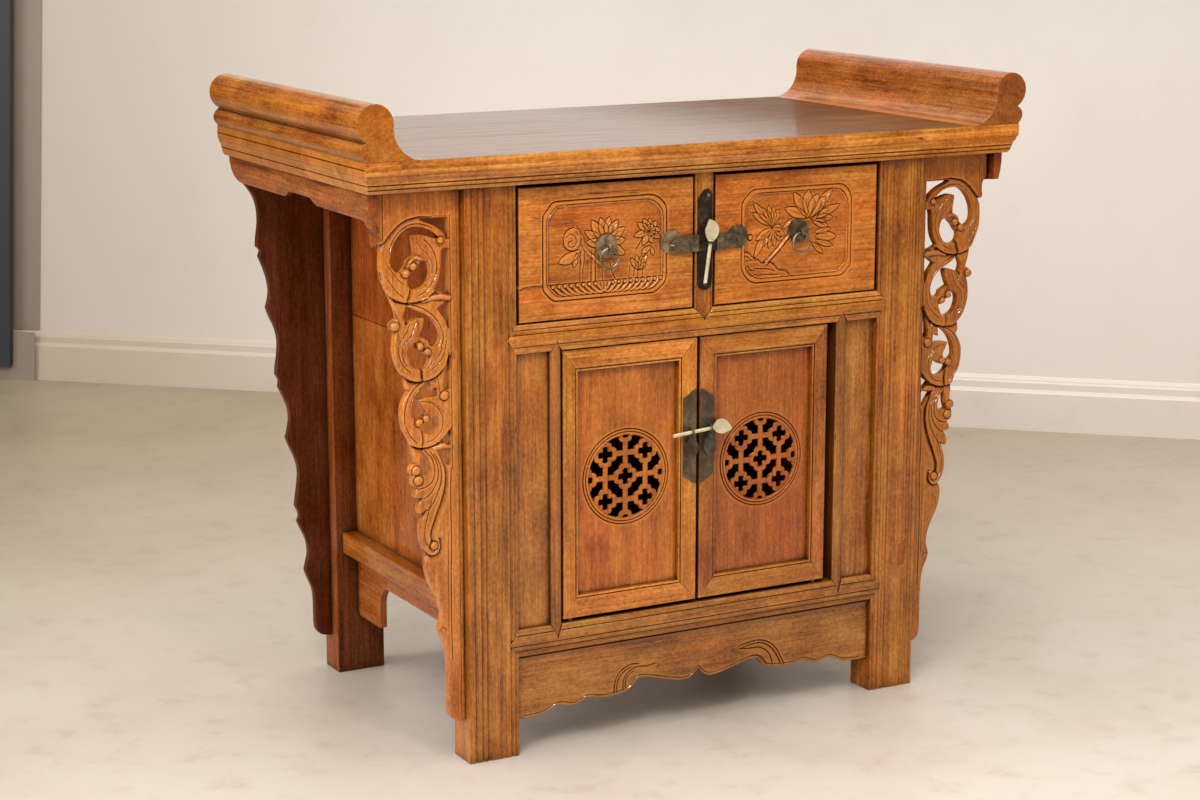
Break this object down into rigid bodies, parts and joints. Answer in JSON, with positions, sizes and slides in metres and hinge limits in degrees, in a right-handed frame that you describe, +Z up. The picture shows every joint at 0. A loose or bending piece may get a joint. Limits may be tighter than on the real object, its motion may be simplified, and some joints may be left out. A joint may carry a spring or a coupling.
{
  "type": "altar cabinet",
  "caption": "Altar cabinet with an everted-flange top, lotus-carved drawers, lattice-roundel doors, pierced scroll spandrels and sliding-pin brass locks.",
  "frame": {"origin": "on the floor under the middle of the cabinet: the bottom centre of its bounding box", "axes": "+X to the right along the front, +Y from the front to the back, +Z up"},
  "size_m": [1.064, 0.5366, 0.918],
  "materials": {
    "honey_lacquer": "glossy honey-amber lacquer over straight grain",
    "red_lacquer": "glossy red-brown lacquer over figured grain",
    "dark_wood": "dark stained, dull",
    "plain_wood": "bare, unfinished",
    "aged_brass": "dark patina, worn bright at the edges",
    "bright_brass": "pale, polished"
  },
  "bodies": {
    "carcass": {"top_front_board": "honey_lacquer", "top_middle_board": "honey_lacquer", "top_back_board": "honey_lacquer", "top_battens": "red_lacquer", "flange_left": "honey_lacquer", "flange_right": "honey_lacquer", "end_apron_left": "honey_lacquer", "end_apron_right": "honey_lacquer", "front_post_left": "honey_lacquer", "front_post_right": "honey_lacquer", "back_leg_left": "red_lacquer", "back_leg_right": "red_lacquer", "mid_rail": "honey_lacquer", "bottom_rail": "honey_lacquer", "drawer_divider": "honey_lacquer", "door_jambs": "honey_lacquer", "front_side_panels": "red_lacquer", "front_apron": "honey_lacquer", "front_spandrel_left": "honey_lacquer", "front_spandrel_right": "honey_lacquer", "back_spandrels": "dark_wood", "side_panel_left": "red_lacquer", "side_panel_right": "red_lacquer", "side_rail_left": "honey_lacquer", "side_rail_right": "honey_lacquer", "side_top_rails": "red_lacquer", "side_apron_left": "honey_lacquer", "side_apron_right": "honey_lacquer", "back_rails": "dark_wood", "back_panels": "dark_wood", "floor_board": "dark_wood", "drawer_runners": "dark_wood", "drawer_guides": "dark_wood", "drawer_lock_plate": "aged_brass"},
    "left_drawer": {"left_drawer_front": "honey_lacquer", "left_drawer_sides": "plain_wood", "left_drawer_bottom": "plain_wood", "left_drawer_plates": "aged_brass"},
    "right_drawer": {"right_drawer_front": "honey_lacquer", "right_drawer_sides": "plain_wood", "right_drawer_bottom": "plain_wood", "right_drawer_plates": "aged_brass"},
    "left_door": {"left_door_stiles": "honey_lacquer", "left_door_rails": "honey_lacquer", "left_door_panel": "red_lacquer", "left_door_plate": "aged_brass", "door_pin_tip": "bright_brass"},
    "right_door": {"right_door_stiles": "honey_lacquer", "right_door_rails": "honey_lacquer", "right_door_panel": "red_lacquer", "right_door_plate": "aged_brass"},
    "left_ring": {"left_ring": "aged_brass"},
    "left_hasp": {"left_hasp": "aged_brass"},
    "left_drop": {"left_drop": "aged_brass"},
    "right_ring": {"right_ring": "aged_brass"},
    "right_hasp": {"right_hasp": "aged_brass"},
    "right_drop": {"right_drop": "aged_brass"},
    "drawer_pin": {"drawer_pin": "bright_brass"},
    "door_pin": {"door_pin": "bright_brass"}
  },
  "joints": [
    {"name": "left_drawer_slide", "type": "slide", "parent": "carcass", "child": "left_drawer", "axis": [0, -1, 0], "range_m": [0, 0.28]},
    {"name": "right_drawer_slide", "type": "slide", "parent": "carcass", "child": "right_drawer", "axis": [0, -1, 0], "range_m": [0, 0.28]},
    {"name": "left_door_swing", "type": "hinge", "parent": "carcass", "child": "left_door", "pos_m": [-0.208, -0.2317, 0.375], "axis": [0, 0, -1], "range_deg": [0, 110]},
    {"name": "right_door_swing", "type": "hinge", "parent": "carcass", "child": "right_door", "pos_m": [0.196, -0.2317, 0.375], "axis": [0, 0, 1], "range_deg": [0, 110]},
    {"name": "left_ring_swing", "type": "hinge", "parent": "left_drawer", "child": "left_ring", "pos_m": [-0.1555, -0.2507, 0.7047], "axis": [-1, 0, 0], "range_deg": [-8, 150]},
    {"name": "right_ring_swing", "type": "hinge", "parent": "right_drawer", "child": "right_ring", "pos_m": [0.1555, -0.2507, 0.7047], "axis": [-1, 0, 0], "range_deg": [-8, 150]},
    {"name": "left_hasp_swing", "type": "hinge", "parent": "left_drawer", "child": "left_hasp", "pos_m": [-0.054, -0.2477, 0.7015], "axis": [0, 0, -1], "range_deg": [0, 150]},
    {"name": "right_hasp_swing", "type": "hinge", "parent": "right_drawer", "child": "right_hasp", "pos_m": [0.054, -0.2477, 0.7015], "axis": [0, 0, 1], "range_deg": [0, 150]},
    {"name": "left_drop_swing", "type": "hinge", "parent": "left_door", "child": "left_drop", "pos_m": [-0.021, -0.2479, 0.43369], "axis": [-1, 0, 0], "range_deg": [-6, 150]},
    {"name": "right_drop_swing", "type": "hinge", "parent": "right_door", "child": "right_drop", "pos_m": [0.009, -0.2479, 0.43611], "axis": [-1, 0, 0], "range_deg": [-6, 150]},
    {"name": "drawer_pin_slide", "type": "slide", "parent": "carcass", "child": "drawer_pin", "axis": [0, 0, 1], "range_m": [0, 0.06]},
    {"name": "door_pin_slide", "type": "slide", "parent": "right_door", "child": "door_pin", "axis": [0.9968, 0, 0.0802], "range_m": [0, 0.06]}
  ]
}
